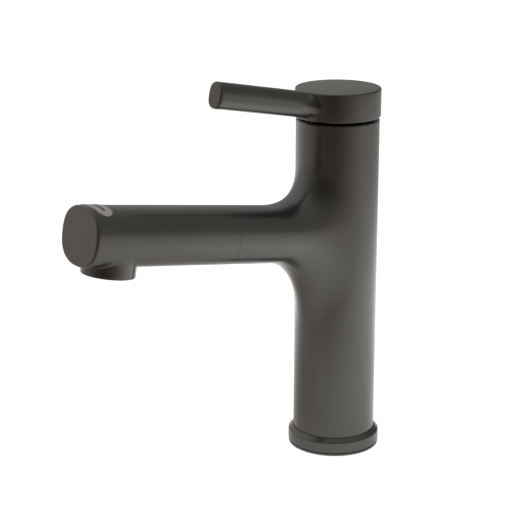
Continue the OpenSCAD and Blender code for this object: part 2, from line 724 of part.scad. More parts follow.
module spray_shell() color(graphite) in_spout() difference() {
    union() {
        section_prism(sec_a, sec_b, spout_n, head_start, head_end);
        upright(outlet_at, face_y) cylinder(d = outlet_d, h = outlet_drop - sec_b / 2);
    }
    difference() {
        section_prism(inner_a, inner_b, spout_n, head_start + 3, head_end + 1);
        translate([-far / 2, seat_floor - seat_floor_t, button_at - button_w / 2 - 1.5])
            cube([far, far, button_w + 3]);
    }
    translate([0, 0, head_start - 1]) cylinder(r = core_r + seat_fit, h = 6);
    upright(outlet_at, face_y - 1) cylinder(r = cavity_r, h = cavity_top - face_y + 1);
    upright(button_at, seat_floor) stadium(button_l + 2 * run_fit, button_w + 2 * run_fit, far);
    upright(spool_at, 0) cylinder(r = stem_r + run_fit, h = far);
    upright(spool_at, seat_floor) cylinder(r = spring_r + spring_wire, h = button_rest_low - seat_floor);
}

module spray_end_cap() color(graphite) in_spout() {
    rounded_plate(sec_a, sec_b, spout_n, spout_len - end_cap_t, spout_len, end_round);
    difference() {
        section_prism(inner_a - seat_fit, inner_b - seat_fit, spout_n, head_end - 2, spout_len - end_cap_t + eps);
        translate([-far / 2, seat_floor - seat_floor_t - seat_fit, head_end - 3]) cube([far, far, 3]);
    }
}

module spray_core() color(white_pom) in_spout() difference() {
    union() {
        translate([0, 0, head_start]) cylinder(r = core_r, h = outlet_at - head_start);
        upright(outlet_at, chamber_low) cylinder(r = chamber_r, h = chamber_top - chamber_low);
    }
    translate([0, 0, head_start - 1]) cylinder(r = thread_r + seat_fit, h = thread_len + 1.2);
    translate([0, 0, head_start]) cylinder(r = inlet_bore_r, h = outlet_at - head_start);
    difference() {
        upright(outlet_at, chamber_low - 1) cylinder(r = chamber_r - 2, h = chamber_roof - chamber_low + 1);
        upright(spool_at, spool_low - 2) cylinder(r = spool_boss_r, h = far);
    }
    upright(spool_at, spool_low - 3) cylinder(r = spool_r + run_fit, h = far);
    upright(outlet_at, chamber_low + 1.3) tube(chamber_r + 1, chamber_r - 0.75, 1.5);
}

module spray_inlet() color(raw_brass) in_spout() difference() {
    union() {
        translate([0, 0, nipple_end]) cylinder(r = nipple_r, h = head_start - nipple_end);
        translate([0, 0, head_start - barrel_len]) cylinder(r = dock_bore - dock_fit, h = barrel_len - 0.1);
        translate([0, 0, head_start - 1]) cylinder(r = thread_r, h = thread_len + 1);
    }
    translate([0, 0, nipple_end - 1]) cylinder(r = inlet_bore_r, h = far);
}

module check_valve() color(white_pom) in_spout() translate([0, 0, nipple_end + 1]) difference() {
    cylinder(r = inlet_bore_r - seat_fit, h = 9);
    translate([0, 0, -1]) cylinder(r = 2.6, h = 3);
    translate([0, 0, 7]) cylinder(r = 2.6, h = 3);
    for (turn = [0:90:270]) rotate([0, 0, turn]) translate([2.4, 0, -1]) cylinder(r = 0.8, h = 20);
}

module inlet_washer() color(dark_rubber) in_spout() translate([0, 0, nipple_end - washer_t])
    tube(nipple_r - 0.2, 3, washer_t);

module hose_nut() color(raw_brass) in_spout() translate([0, 0, nut_back]) difference() {
    cylinder(r = dock_bore - dock_fit, h = nut_len, $fn = 6);
    translate([0, 0, -1]) cylinder(r = insert_neck_r + 0.2, h = nut_len);
    translate([0, 0, nut_wall_t]) cylinder(r = nipple_r + seat_fit, h = far);
}

module hose_insert() color(raw_brass) in_spout() difference() {
    union() {
        translate([0, 0, insert_collar_s]) cylinder(r = nipple_r - 0.2, h = collar_t);
        translate([0, 0, hose_end + 0.1]) cylinder(r = insert_neck_r, h = insert_collar_s - hose_end);
        translate([0, 0, hose_end - barb_len + 1]) cylinder(r = hose_bore / 2 - 0.3, h = barb_len);
    }
    translate([0, 0, hose_end - barb_len]) cylinder(r = water_r, h = far);
}

module hose_ferrule() color(steel) in_spout() {
    translate([0, 0, hose_end - ferrule_len]) tube(hose_d / 2 + 1.1, hose_d / 2 + 0.3, ferrule_len + 0.1);
    translate([0, 0, hose_end + 0.1]) tube(hose_d / 2 + 1.1, insert_neck_r + seat_fit, 0.3 - eps);
}

module nozzle_places() for (i = [0:nozzle_count - 1]) rotate([0, 0, 360 * i / nozzle_count])
    translate([nozzle_ring_r, 0, 0]) children();

module nozzle_plate() color(grey_pom) in_spout() upright(outlet_at, plate_y) difference() {
    cylinder(r = cavity_r - seat_fit, h = plate_top - plate_y - 0.1);
    translate([0, 0, plate_t]) cylinder(r = chamber_r + 0.15, h = far);
    translate([0, 0, -1]) cylinder(r = aerator_d / 2 + seat_fit, h = far);
    translate([0, 0, -1]) nozzle_places() cylinder(r = nozzle_d / 2 + seat_fit, h = plate_t + 2, $fn = 16);
}

module nozzle_mat() color(dark_rubber) in_spout() upright(outlet_at, plate_y + plate_t) difference() {
    union() {
        tube(chamber_r, aerator_d / 2 + 0.3, mat_t);
        translate([0, 0, -plate_t - 0.6]) nozzle_places() cylinder(d = nozzle_d, h = plate_t + 1, $fn = 16);
    }
    translate([0, 0, -plate_t - 2]) nozzle_places() cylinder(d = nozzle_d * 0.5, h = far, $fn = 16);
}

module aerator_body() color(white_pom) in_spout() upright(outlet_at, plate_y - 0.1) difference() {
    union() {
        cylinder(d = aerator_d, h = 9);
        translate([0, 0, 5]) cylinder(r = aerator_d / 2 + 0.7, h = 1.4);
    }
    translate([0, 0, -1]) cylinder(d = aerator_d - 3, h = 8.5);
    translate([0, 0, 7]) for (turn = [0:60:300]) rotate([0, 0, turn]) translate([3.6, 0, 0]) cylinder(r = 0.8, h = 4);
}

module aerator_screen() color(steel) in_spout() upright(outlet_at, plate_y + 0.6) difference() {
    cylinder(d = aerator_d - 3.1, h = 0.8);
    for (ix = [-3:3], iy = [-3:3]) if (norm([ix, iy]) < 3.4)
        translate([ix * 1.5 - 0.5, iy * 1.5 - 0.5, -1]) cube([1, 1, 3]);
}

module face_seal() color(dark_rubber) in_spout() upright(outlet_at, chamber_low + 2.05)
    ring_seal(chamber_r - 0.32, 0.42);

module mode_button() color(pale_grey) in_spout() difference() {
    intersection() {
        upright(button_at, button_rest_low) stadium(button_l, button_w, far);
        section_prism(sec_a + button_proud, sec_b + button_proud, spout_n, head_start, head_end);
    }
    difference() {
        upright(button_at, 0) stadium(button_l - button_w + button_slot_w, button_slot_w, far);
        section_prism(sec_a - 0.7, sec_b - 0.7, spout_n, head_start, head_end);
    }
    upright(spool_at, button_rest_low - 1) cylinder(r = stem_r, h = 2.2);
}

module diverter_spool() color(steel) in_spout() difference() {
    union() {
        upright(spool_at, spool_low) cylinder(r = spool_r, h = spool_top - spool_low);
        upright(spool_at, spool_low) cylinder(r = stem_r, h = button_rest_low + 1.1 - spool_low);
    }
    for (y = [-5.5, 2.6]) upright(spool_at, y) tube(spool_r + 1, spool_r - 0.8, 1.4);
}

module spool_seals() color(dark_rubber) in_spout() for (y = [-4.8, 3.3]) upright(spool_at, y)
    ring_seal(spool_r - 0.36, 0.42);

// wire helix between the seat and the button
spring_turns = 2.5;
spring_per_turn = 14;
spring_sides = 6;
spring_low = seat_floor + spring_wire / 2;
spring_high = button_rest_low - spring_wire / 2;
function spring_ring(i) =
    let (f = i / (spring_turns * spring_per_turn), turn = 360 * i / spring_per_turn)
    [for (k = [0:spring_sides - 1])
        let (w = 360 * k / spring_sides, r = spring_r + spring_wire / 2 * cos(w))
        [r * cos(turn), r * sin(turn), mix(spring_low, spring_high, f) + spring_wire / 2 * sin(w)]];

module button_spring() color(steel) in_spout() upright(spool_at, 0)
    loft([for (i = [spring_turns * spring_per_turn:-1:0]) spring_ring(i)]);

body_casting();
base_ring();
base_gasket();
hose_guide();
spray_hose();
hose_tail();
tail_seals();
cold_pipe();
hot_pipe();
mixed_pipe();
pipe_seals();
valve_carrier();
port_seals();
cartridge_base();
fixed_disc();
cartridge_housing();
retaining_nut();
docking_sleeve();
stem_rotor();
pivot_pin();
moving_disc();
disc_driver();
handle_lever();
lever_end_cap();
cartridge_stem();
grub_screw();
index_plug();
spray_shell();
spray_end_cap();
spray_core();
spray_inlet();
check_valve();
inlet_washer();
hose_nut();
hose_insert();
hose_ferrule();
nozzle_plate();
nozzle_mat();
aerator_body();
aerator_screen();
face_seal();
button_spring();
mode_button();
diverter_spool();
spool_seals();
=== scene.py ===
import math

import bmesh
import bpy
import numpy as np
from mathutils import Matrix, Vector


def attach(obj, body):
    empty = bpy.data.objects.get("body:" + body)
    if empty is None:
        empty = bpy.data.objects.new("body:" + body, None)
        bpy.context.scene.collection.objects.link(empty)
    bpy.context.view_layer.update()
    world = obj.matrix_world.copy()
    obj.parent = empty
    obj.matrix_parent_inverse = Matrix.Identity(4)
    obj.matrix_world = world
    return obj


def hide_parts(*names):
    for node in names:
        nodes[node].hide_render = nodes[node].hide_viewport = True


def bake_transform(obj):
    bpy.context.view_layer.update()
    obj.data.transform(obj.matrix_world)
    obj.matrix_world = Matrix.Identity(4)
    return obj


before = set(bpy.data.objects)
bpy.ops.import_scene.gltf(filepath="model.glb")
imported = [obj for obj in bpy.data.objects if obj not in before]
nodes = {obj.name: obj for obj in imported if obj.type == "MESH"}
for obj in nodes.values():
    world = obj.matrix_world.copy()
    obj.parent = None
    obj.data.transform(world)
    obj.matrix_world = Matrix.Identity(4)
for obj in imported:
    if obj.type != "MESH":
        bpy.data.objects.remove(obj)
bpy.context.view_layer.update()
print("frame loaded,", len(nodes), "nodes")

# all lengths in the pieces' dictionaries are millimetres
mm = 0.001
spout = {"z": 123.8, "rise": 9.25, "halfW": 16.5, "halfH": 15.35, "n": 2.45, "seam": 80.7, "end": 170.2}
lever = {"z": 194.65, "rise": 11.55, "halfW": 5.6, "halfH": 7.15, "n": 2.58, "end": 85.8}
column = {"r": 23.0, "rim": 189.2, "chamfer": 0.5, "valveBore": 20.4, "foot": 4.0}


# ---------- geometry helpers

def addMesh(name, verts, faces, body=None, sharp=35, welded=1e-6, outward=True):
    mesh = bpy.data.meshes.new(name)
    verts = np.asarray(verts, float).reshape(-1, 3) * mm
    faces = np.asarray(faces, np.int64)
    mesh.vertices.add(len(verts))
    mesh.vertices.foreach_set("co", verts.ravel())
    mesh.loops.add(faces.size)
    mesh.loops.foreach_set("vertex_index", faces.ravel())
    mesh.polygons.add(len(faces))
    mesh.polygons.foreach_set("loop_start", np.arange(len(faces)) * faces.shape[1])
    mesh.update(calc_edges=True)
    mesh.validate()
    obj = bpy.data.objects.new(name, mesh)
    bpy.context.collection.objects.link(obj)
    tidy(obj, sharp, welded, outward)
    if body:
        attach(obj, body)
    return obj


def tidy(obj, sharp=35, welded=1e-6, outward=True):
    mesh = obj.data
    work = bmesh.new()
    work.from_mesh(mesh)
    bmesh.ops.remove_doubles(work, verts=work.verts, dist=welded)
    bmesh.ops.dissolve_degenerate(work, edges=work.edges, dist=1e-7)
    if outward:
        bmesh.ops.recalc_face_normals(work, faces=work.faces)
    work.to_mesh(mesh)
    work.free()
    mesh.polygons.foreach_set("use_smooth", np.ones(len(mesh.polygons), bool))
    mesh.set_sharp_from_angle(angle=math.radians(sharp))
    mesh.update()


# quads of a grid whose columns run round and meet
def gridFaces(rows, cols):
    i, j = np.meshgrid(np.arange(rows - 1), np.arange(cols), indexing="ij")
    k = (j + 1) % cols
    return np.stack([i * cols + j, i * cols + k, (i + 1) * cols + k, (i + 1) * cols + j], -1).reshape(-1, 4)


def superellipse(halfW, halfH, n, turn):
    c, s = np.cos(turn), np.sin(turn)
    return np.stack([halfW * np.sign(c) * np.abs(c) ** (2 / n), halfH * np.sign(s) * np.abs(s) ** (2 / n)],
                    -1)


def turns(count):
    return np.linspace(0, 2 * np.pi, count, endpoint=False)


# across, up, along -> row frame, for an axis that rises from the column towards -Y
def place(arm, pts):
    a = math.radians(arm["rise"])
    u, w, s = pts[..., 0], pts[..., 1], pts[..., 2]
    y = -s * math.cos(a) + w * math.sin(a)
    z = arm["z"] + s * math.sin(a) + w * math.cos(a)
    return np.stack([u, y, z], -1)


# rounded corner between two straight runs of a profile
def roundOff(profile, radii, steps=6):
    out = []
    profile = [np.array(p, float) for p in profile]
    for k, (p, r) in enumerate(zip(profile, radii)):
        if r <= 0 or k in (0, len(profile) - 1):
            out.append(p)
            continue
        a, b = profile[k - 1] - p, profile[k + 1] - p
        a, b = a / np.linalg.norm(a), b / np.linalg.norm(b)
        half = math.acos(np.clip(a @ b, -1, 1)) / 2
        reach = r / math.tan(half)
        centre = p + (a + b) / np.linalg.norm(a + b) * r / math.sin(half)
        start, stop = p + a * reach - centre, p + b * reach - centre
        sweep = math.pi - 2 * half
        for f in np.linspace(0, 1, steps):
            out.append(centre + (np.sin((1 - f) * sweep) * start + np.sin(f * sweep) * stop) / math.sin(sweep))
    return np.array(out)


def lathe(profile, count):
    t = turns(count)
    r, z = profile[:, :1], profile[:, 1:]
    return np.stack([r * np.cos(t), r * np.sin(t), np.repeat(z, count, 1)], -1), gridFaces(len(profile),
                                                                                           count)


def addLathe(name, profile, radii, body, count, steps=6):
    pts, faces = lathe(roundOff(profile, radii, steps), count)
    return addMesh(name, pts, faces, body)


# the section's outline and the direction that points straight out of it
def outline(arm, turn):
    ring = superellipse(arm["halfW"], arm["halfH"], arm["n"], turn)
    step = np.roll(ring, -1, 0) - np.roll(ring, 1, 0)
    out = np.stack([step[:, 1], -step[:, 0]], -1)
    return ring, out / np.maximum(np.linalg.norm(out, axis=1, keepdims=True), 1e-9)


# a section that shrinks by inset at each stop along its axis: rows of (along, inset)
def sectionRows(arm, stops, turn):
    ring, out = outline(arm, turn)
    rows = [np.concatenate([ring - out * inset, np.full((len(ring), 1), along)], 1) for along, inset in stops]
    return np.array(rows)


def circleRow(r, along, turn):
    return np.stack([r * np.cos(turn), r * np.sin(turn), np.full(len(turn), along)], -1)


# a CAD node shown as it is, with smooth shading between its own hard edges
def carry(name):
    mesh = nodes[name].data
    mesh.polygons.foreach_set("use_smooth", np.ones(len(mesh.polygons), bool))
    return nodes[name]


# the part of a CAD node that a test on its face centres (millimetres) keeps
def keepFaces(node, keep, name, body):
    source = nodes[node].data
    verts = np.zeros(len(source.vertices) * 3)
    source.vertices.foreach_get("co", verts)
    verts = verts.reshape(-1, 3) / mm
    tris = np.zeros(len(source.loops), np.int64)
    source.loops.foreach_get("vertex_index", tris)
    tris = tris.reshape(-1, 3)
    centre = verts[tris].mean(1)
    return addMesh(name, verts, tris[keep(centre)], body, outward=False)


# ---------- column, neck and collar: one skin from the parting line to the back of the column

neck = {"rise": 41.5, "drop": 58.5, "halfW": 22.3, "top": 27.5, "side": 24, "under": 31.0, "full": 0.66,
        "sideUp": 1, "sideDown": 1.6, "endUp": 0.6, "endDown": 0.5}
turn = turns(256)
c, s = np.cos(turn), np.sin(turn)
rise = math.radians(spout["rise"])
r = column["r"]
section = superellipse(spout["halfW"], spout["halfH"], spout["n"], turn)
u, w = section[:, 0], section[:, 1]
y = -np.sqrt(r * r - u * u)
corner = (w * math.sin(rise) - y) / math.cos(rise)
run = neck["side"] + (np.where(s > 0, neck["top"], neck["under"]) - neck["side"]) * s * s
leave = place(spout, np.stack([u, w, corner + run], -1))
corner = place(spout, np.stack([u, w, corner], -1))
landX = neck["halfW"] * np.sign(c) * np.abs(c) ** np.where(s > 0, neck["sideUp"], neck["sideDown"])
spread = np.where(s > 0, neck["rise"], neck["drop"]) * np.sign(s)
spread = spread * np.abs(s) ** np.where(s > 0, neck["endUp"], neck["endDown"])
landZ = spout["z"] + r * math.tan(rise) + spread
land = np.stack([landX, -np.sqrt(r * r - landX * landX), landZ], -1)
out = land * [1, 1, 0] / r
pull = corner - land
flat = pull - out * (pull * out).sum(1, keepdims=True)
flat *= np.linalg.norm(pull, axis=1, keepdims=True) / np.linalg.norm(flat, axis=1, keepdims=True)
q, p = leave + neck["full"] * (corner - leave), land + neck["full"] * flat
# blend from the spout to the column: cubic curve leave, q, p, land
f = np.linspace(0, 1, 48)[:, None, None]
blendRows = (1 - f) ** 3 * leave + 3 * (1 - f) ** 2 * f * q + 3 * (1 - f) * f * f * p + f ** 3 * land
# the rest of the column, unrolled: from the landing line out to a rectangle, along straight lines
startA = np.arctan2(landX, np.sqrt(r * r - landX * landX))
square = np.maximum(np.abs(c), np.abs(s))
endA = np.pi * c / square
top, foot = column["rim"] - column["chamfer"], column["foot"]
middle = spout["z"] + r * math.tan(rise)
endZ = middle + np.where(s > 0, top - middle, middle - foot) * s / square
g = (np.linspace(0, 1, 56)[1:, None]) ** 1.25
angle, z = startA + g * (endA - startA), landZ + g * (endZ - landZ)
wallRows = np.stack([r * np.sin(angle), -r * np.cos(angle), z], -1)
seam = spout["seam"]
collarStops = [(seam - 0.05, 0.9), (seam, 0.75), (seam, 0.06), (seam - 0.02, 0.02), (seam - 0.06, 0),
               (seam - 0.2, 0), (seam - 0.5, 0)]
mouth = [circleRow(12.3, k, turn) for k in (34, 50, 66, seam - 0.4)] + [circleRow(12.5, seam - 0.1, turn)]
mouth = place(spout, np.array(mouth))
collarRows = place(spout, sectionRows(spout, collarStops, turn))
straight = leave + (np.linspace(0, 1, 12)[1:-1, None, None]) * (collarRows[-1] - leave)
rows = np.concatenate([mouth, collarRows, straight[::-1], blendRows, wallRows])
castSkin = addMesh("column_skin", rows, gridFaces(len(rows), len(turn)), "column", 40, 2e-6)
bore = column["valveBore"]
rimProfile = [(bore, 181.0), (bore, 188.9), (bore + 0.3, 189.2), (22.5, 189.2), (23.0, 188.7)]
rimRing = addLathe("column_rim", rimProfile, [0, 0.1, 0.1, 0.15, 0], "column", 256)


def insideCast(m):
    away = np.hypot(m[:, 0], m[:, 1])
    return (away < 22.6) & (m[:, 1] > -18.99) & (m[:, 2] < 188)


castInside = keepFaces("body_casting", insideCast, "column_inside", "column")
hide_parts("body_casting")
print("column:", len(castSkin.data.polygons), "faces")

# ---------- base ring and gasket

ringProfile = [(20.5, 4.0), (20.5, 1.65), (25.3, 1.65), (25.8, 2.0), (25.8, 7.75), (23.5, 9.95),
               (23.05, 10.0), (23.05, 4.0), (20.5, 4.0)]
ringSkin = addLathe("base_ring_skin", ringProfile, [0, 0, 0.15, 0.2, 0.7, 0.3, 0, 0, 0], "column", 256, 8)
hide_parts("base_ring")
gasketProfile = [(20.5, 1.6), (20.5, 0.0), (25.45, 0.0), (25.6, 0.3), (25.6, 1.1), (24.6, 1.1), (24.6, 1.6),
                 (20.5, 1.6)]
gasketSkin = addLathe("gasket_skin", gasketProfile, [0, 0.15, 0.2, 0.15, 0.15, 0.1, 0.1, 0], "column", 256)
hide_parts("base_gasket")

# ---------- cap and lever

cap = {"r": 23.6, "low": 191.0, "top": 206.5, "round": 0.95, "inner": 21.5, "ceiling": 203.7}
capProfile = [(0, cap["ceiling"]), (cap["inner"], cap["ceiling"]), (cap["inner"], cap["low"]),
              (cap["r"], cap["low"]),
              (cap["r"], cap["top"]), (0, cap["top"])]
capSkin = addLathe("cap_skin", capProfile, [0, 0.6, 0.2, 0.35, cap["round"], 0], "handle", 288, 9)
leverTurn = turns(160)
leverSeam = lever["end"] - 1.5
ring, out = outline(lever, leverTurn)
tilt = math.radians(lever["rise"])


# where a line along the lever meets the cap's side
def meetCap(flat):
    reach = np.sqrt(cap["r"] ** 2 - flat[..., 0] ** 2)
    return (flat[..., 1] * math.sin(tilt) + reach) / math.cos(tilt)


# fillet radius: wide at the sides, almost nothing at the cap's lower and upper edges
fillet = 0.08 + 13.0 * (1 - np.abs(out[:, 1])) ** 2.2
# each arc touches the bar's side and ends in line with the cap's side
sideOut = np.abs(out[:, 0])
lean = np.arcsin(np.clip((np.abs(ring[:, 0]) + fillet * sideOut) * sideOut / (cap["r"] + fillet), 0, 1))
sweepEnd = math.pi / 2 - lean
k = np.linspace(0, 1, 16)[:, None] * sweepEnd
flat = ring + out * (fillet * (1 - np.cos(k)))[..., None]
filletS = meetCap(flat[-1]) + fillet * (np.sin(sweepEnd) - np.sin(k))
filletRows = np.concatenate([flat, filletS[..., None]], -1)
straight = np.linspace(0, 1, 30)[:-1, None, None]
barEnd = np.concatenate([ring, np.full((len(ring), 1), leverSeam - 0.6)], 1)
straightRows = barEnd + straight * (filletRows[0] - barEnd)
# the last rows go on into the cap, deeper at the top
inward = (1.2 + 2.6 * np.clip(out[:, 1] * 2 - 0.6, 0, 1))[:, None] * [0, 0, 1]
lips = sectionRows(lever, [(leverSeam + 0.1, 1.3), (leverSeam, 0.9), (leverSeam, 0.1),
                           (leverSeam - 0.04, 0.03),
                         (leverSeam - 0.1, 0), (leverSeam - 0.3, 0)],
                   leverTurn)
barRows = np.concatenate([lips, straightRows, filletRows, filletRows[-1:] - inward * 0.5,
                          filletRows[-1:] - inward])
barSkin = addMesh("lever_bar", place(lever, barRows), gridFaces(len(barRows), len(leverTurn)), "handle", 40)


# a thin cap on a section: buried edge, hairline joint, rounded rim and a flat face drawn in to its middle
def endCap(arm, joint, rim, turn):
    stops = [(joint - 1.5, 1.8), (joint + 0.05, 1.6), (joint + 0.05, 0.12), (joint + 0.08, 0.03)]
    k = np.linspace(0, math.pi / 2, 12)
    stops += list(zip(arm["end"] - rim + rim * np.sin(k), rim - rim * np.cos(k)))
    rows = sectionRows(arm, stops, turn)
    shrink = np.array([0.96, 0.8, 0.6, 0.4, 0.2, 0.0])[:, None, None] * [1, 1, 0] + [0, 0, 1]
    return np.concatenate([rows, rows[-1:] * shrink])


endRows = endCap(lever, leverSeam, 1.25, leverTurn)
leverEnd = addMesh("lever_end_skin", place(lever, endRows), gridFaces(len(endRows), len(leverTurn)), "handle",
                   40)
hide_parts("lever_end_cap")


def insideCap(m):
    away = np.hypot(m[:, 0], m[:, 1])
    return (away < 21.2) & (m[:, 2] < 203.6)


capInside = keepFaces("handle_lever", insideCap, "cap_inside", "handle")
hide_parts("handle_lever")
# index plug: a shallow dome with a fine dark joint round it, laid over the back of the cap
plug = {"z": 196.65, "r": 3.0, "joint": 3.22}
plugTurn = turns(96)


def onCap(stops):
    rows = []
    for away, over in stops:
        x, z = away * np.cos(plugTurn), plug["z"] + away * np.sin(plugTurn)
        rows.append(np.stack([x, np.sqrt((cap["r"] + over) ** 2 - x * x), z], -1))
    return np.array(rows)


plugRows = onCap([(plug["r"], -0.3), (plug["r"], 0.02), (plug["r"] - 0.08, 0.08), (plug["r"] - 0.25, 0.11),
                  (2.0, 0.13), (1.0, 0.15),
                  (0.0, 0.15)])
plugSkin = addMesh("index_plug_skin", plugRows, gridFaces(len(plugRows), len(plugTurn)), "handle", 40)
jointRows = onCap([(plug["joint"] + 0.02, -0.2), (plug["joint"], 0.015), (plug["r"] - 0.1, 0.015),
                   (plug["r"] - 0.12, -0.2)])
plugJoint = addMesh("index_plug_joint", jointRows, gridFaces(len(jointRows), len(plugTurn)), "handle", 60)
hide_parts("index_plug")
print("cap and lever:", len(capSkin.data.polygons) + len(barSkin.data.polygons), "faces")

# ---------- spray head

headStart, headEnd = seam + 0.06, 168.7
headTurn = turns(256)
headStops = [(headStart + 0.1, 1.2), (headStart, 0.9), (headStart, 0.06), (headStart + 0.02, 0.02),
             (headStart + 0.06, 0),
             (headStart + 0.2, 0), (headStart + 0.5, 0)]
headStops += [(k, 0) for k in np.linspace(headStart + 2, headEnd - 1.2, 60)]
headStops += [(headEnd - 0.5, 0), (headEnd - 0.2, 0), (headEnd - 0.08, 0), (headEnd - 0.03, 0.02),
              (headEnd, 0.08), (headEnd, 1.0), (headEnd - 0.4, 1.6)]
inner = [circleRow(k, a, headTurn) for k, a in ((8.1, headStart + 5), (8.1, headStart + 0.5),
                                                (8.6, headStart + 0.05))]
headRows = np.concatenate([np.array(inner), sectionRows(spout, headStops, headTurn)])
headSkin = addMesh("head_skin", place(spout, headRows), gridFaces(len(headRows), len(headTurn)), "spray", 40)
faceRows = endCap(spout, headEnd, 1.3, headTurn)
faceSkin = addMesh("end_cap_skin", place(spout, faceRows), gridFaces(len(faceRows), len(headTurn)), "spray",
                   40)
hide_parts("spray_end_cap")
outlet = {"at": 150.5, "r": 14.1, "low": -19.7, "wall": 1.3, "top": -4.0, "roof": -9.4, "blendFront": 0.25,
          "blendSide": 1.35, "blendEnd": -17.6}
# the collar's side runs into the head: a parabola that touches both, short in front and wide at the sides
collarTurn = turns(192)
sideways = np.cos(collarTurn)
blend = outlet["blendFront"] + (outlet["blendSide"] - outlet["blendFront"]) * sideways ** 2
reach = np.abs((outlet["r"] + blend) * sideways / spout["halfW"])
room = 1 - reach ** spout["n"]
touchZ = -spout["halfH"] * room ** (1 / spout["n"])
slope = spout["halfH"] / spout["halfW"] * room ** (1 / spout["n"] - 1) * reach ** (spout["n"] - 1)
cornerZ = touchZ - blend * slope * np.abs(sideways)
k = np.linspace(1, 0, 9)[:, None]
blendR = outlet["r"] + blend * k * k
blendZ = (1 - k) ** 2 * (cornerZ - 1.5 * blend) + 2 * k * (1 - k) * cornerZ + k * k * touchZ
topR = np.stack([np.full(len(collarTurn), 13.0), blendR[0]])
topZ = np.stack([np.full(len(collarTurn), outlet["top"]), blendZ[0] + 0.3])
bore = outlet["r"] - outlet["wall"]
collarProfile = [(outlet["r"], outlet["blendEnd"]), (outlet["r"], outlet["low"]), (bore, outlet["low"]),
                 (bore, outlet["roof"]), (7.0, outlet["roof"])]
lowPts = lathe(roundOff(collarProfile, [0, 0.35, 0.3, 0.2, 0]), len(collarTurn))[0]
r, z = np.concatenate([topR, blendR]), np.concatenate([topZ, blendZ])
collarPts = np.concatenate([np.stack([r * sideways, r * np.sin(collarTurn), z], -1), lowPts])
collarPts = np.stack([collarPts[..., 0], collarPts[..., 2], outlet["at"] - collarPts[..., 1]], -1)
collarSkin = addMesh("outlet_collar", place(spout, collarPts), gridFaces(len(collarPts), len(collarTurn)),
                     "spray", 40)
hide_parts("spray_shell")
print("spray head:", len(headSkin.data.polygons), "faces")

# ---------- mode button: a stadium laid over the crown of the head, with a sunk groove

button = {"at": 162.2, "halfL": 11.4, "halfW": 4.65, "slotL": 7.6, "slotW": 1.25, "proud": 0.3}
buttonTurn = turns(160)


def crown(x):
    return spout["halfH"] * (1 - (np.abs(x) / spout["halfW"]) ** spout["n"]) ** (1 / spout["n"])


# the straight sides come from the cosine, cut off at a third of its height
def stadiumRing(halfL, halfW):
    lengthwise = halfL - halfW
    x = halfW * np.cos(buttonTurn) + lengthwise * np.clip(np.cos(buttonTurn) * 3, -1, 1)
    return np.stack([x, halfW * np.sin(buttonTurn)], -1)


def buttonRows(stops):
    rows = []
    for halfL, halfW, height in stops:
        ring = stadiumRing(halfL, halfW)
        rows.append(np.stack([ring[:, 0], crown(ring[:, 0]) + height, button["at"] + ring[:, 1]], -1))
    return np.array(rows)


hl, hw, sl, sw, top = button["halfL"], button["halfW"], button["slotL"], button["slotW"], button["proud"]
loopStops = [(hl, hw, -1.6), (hl, hw, top - 0.35), (hl - 0.08, hw - 0.08, top - 0.12),
             (hl - 0.28, hw - 0.28, top - 0.01)]
loopStops += [(hl - k, hw - k, top) for k in (0.7, 1.2, 1.8, 2.4)]
loopStops += [(sl + 0.2, sw + 0.2, top - 0.01), (sl + 0.06, sw + 0.06, top - 0.1), (sl, sw, top - 0.3),
              (sl, sw, top - 1.0)]
loopPts = buttonRows(loopStops)
loopSkin = addMesh("button_loop", place(spout, loopPts), gridFaces(len(loopPts), len(buttonTurn)), "button",
                   40)
grooveStops = [(sl, sw, top - 0.7)] + [(sl - k, sw - k, top - 0.72) for k in (0.3, 0.6, 0.9, 1.2)]
groovePts = buttonRows(grooveStops)
spine = groovePts[-1:].copy()
spine[..., 2] = button["at"]
groovePts = np.concatenate([groovePts, spine])
grooveSkin = addMesh("button_groove", place(spout, groovePts), gridFaces(len(groovePts), len(buttonTurn)),
                     "button", 60)
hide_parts("mode_button")
print("button made")

# ---------- pull-out hose, swept along its docked route

hose = {"r": 5.3, "bend": 45.0, "y": 10.0, "tail": 18.0, "end": 50.8, "slackFrom": 29.0, "slackTo": 47.5,
        "pull": 200.0}
corner = -hose["y"] / math.cos(rise)
tangent = hose["bend"] * math.tan((math.pi / 2 - rise) / 2)
cornerZ = spout["z"] - hose["y"] * math.tan(rise)
upZ = np.linspace(hose["tail"], cornerZ - tangent, 60)
upright = np.stack([np.full(60, hose["y"]), upZ, np.zeros(60)], -1)
a = np.linspace(0, math.pi / 2 - rise, 70)[1:]
bend = np.stack([hose["y"] - hose["bend"] * (1 - np.cos(a)), cornerZ - tangent + hose["bend"] * np.sin(a), a],
                -1)
along = np.linspace(corner + tangent, hose["end"], 90)[1:]
level = np.stack([-along * math.cos(rise), spout["z"] + along * math.sin(rise),
                  np.full(len(along), math.pi / 2 - rise)], -1)
line = np.concatenate([upright, bend, level])
hoseTurn = turns(48)
u = hose["r"] * np.cos(hoseTurn)
hosePts = np.stack([np.repeat(hose["r"] * np.sin(hoseTurn)[None], len(line), 0),
                    line[:, :1] - u * np.cos(line[:, 2:]), line[:, 1:2] - u * np.sin(line[:, 2:])], -1)
hoseSkin = addMesh("hose_braid", hosePts, gridFaces(len(line), len(hoseTurn)), None, 40)
print("hose made")

# ---------- shader maths

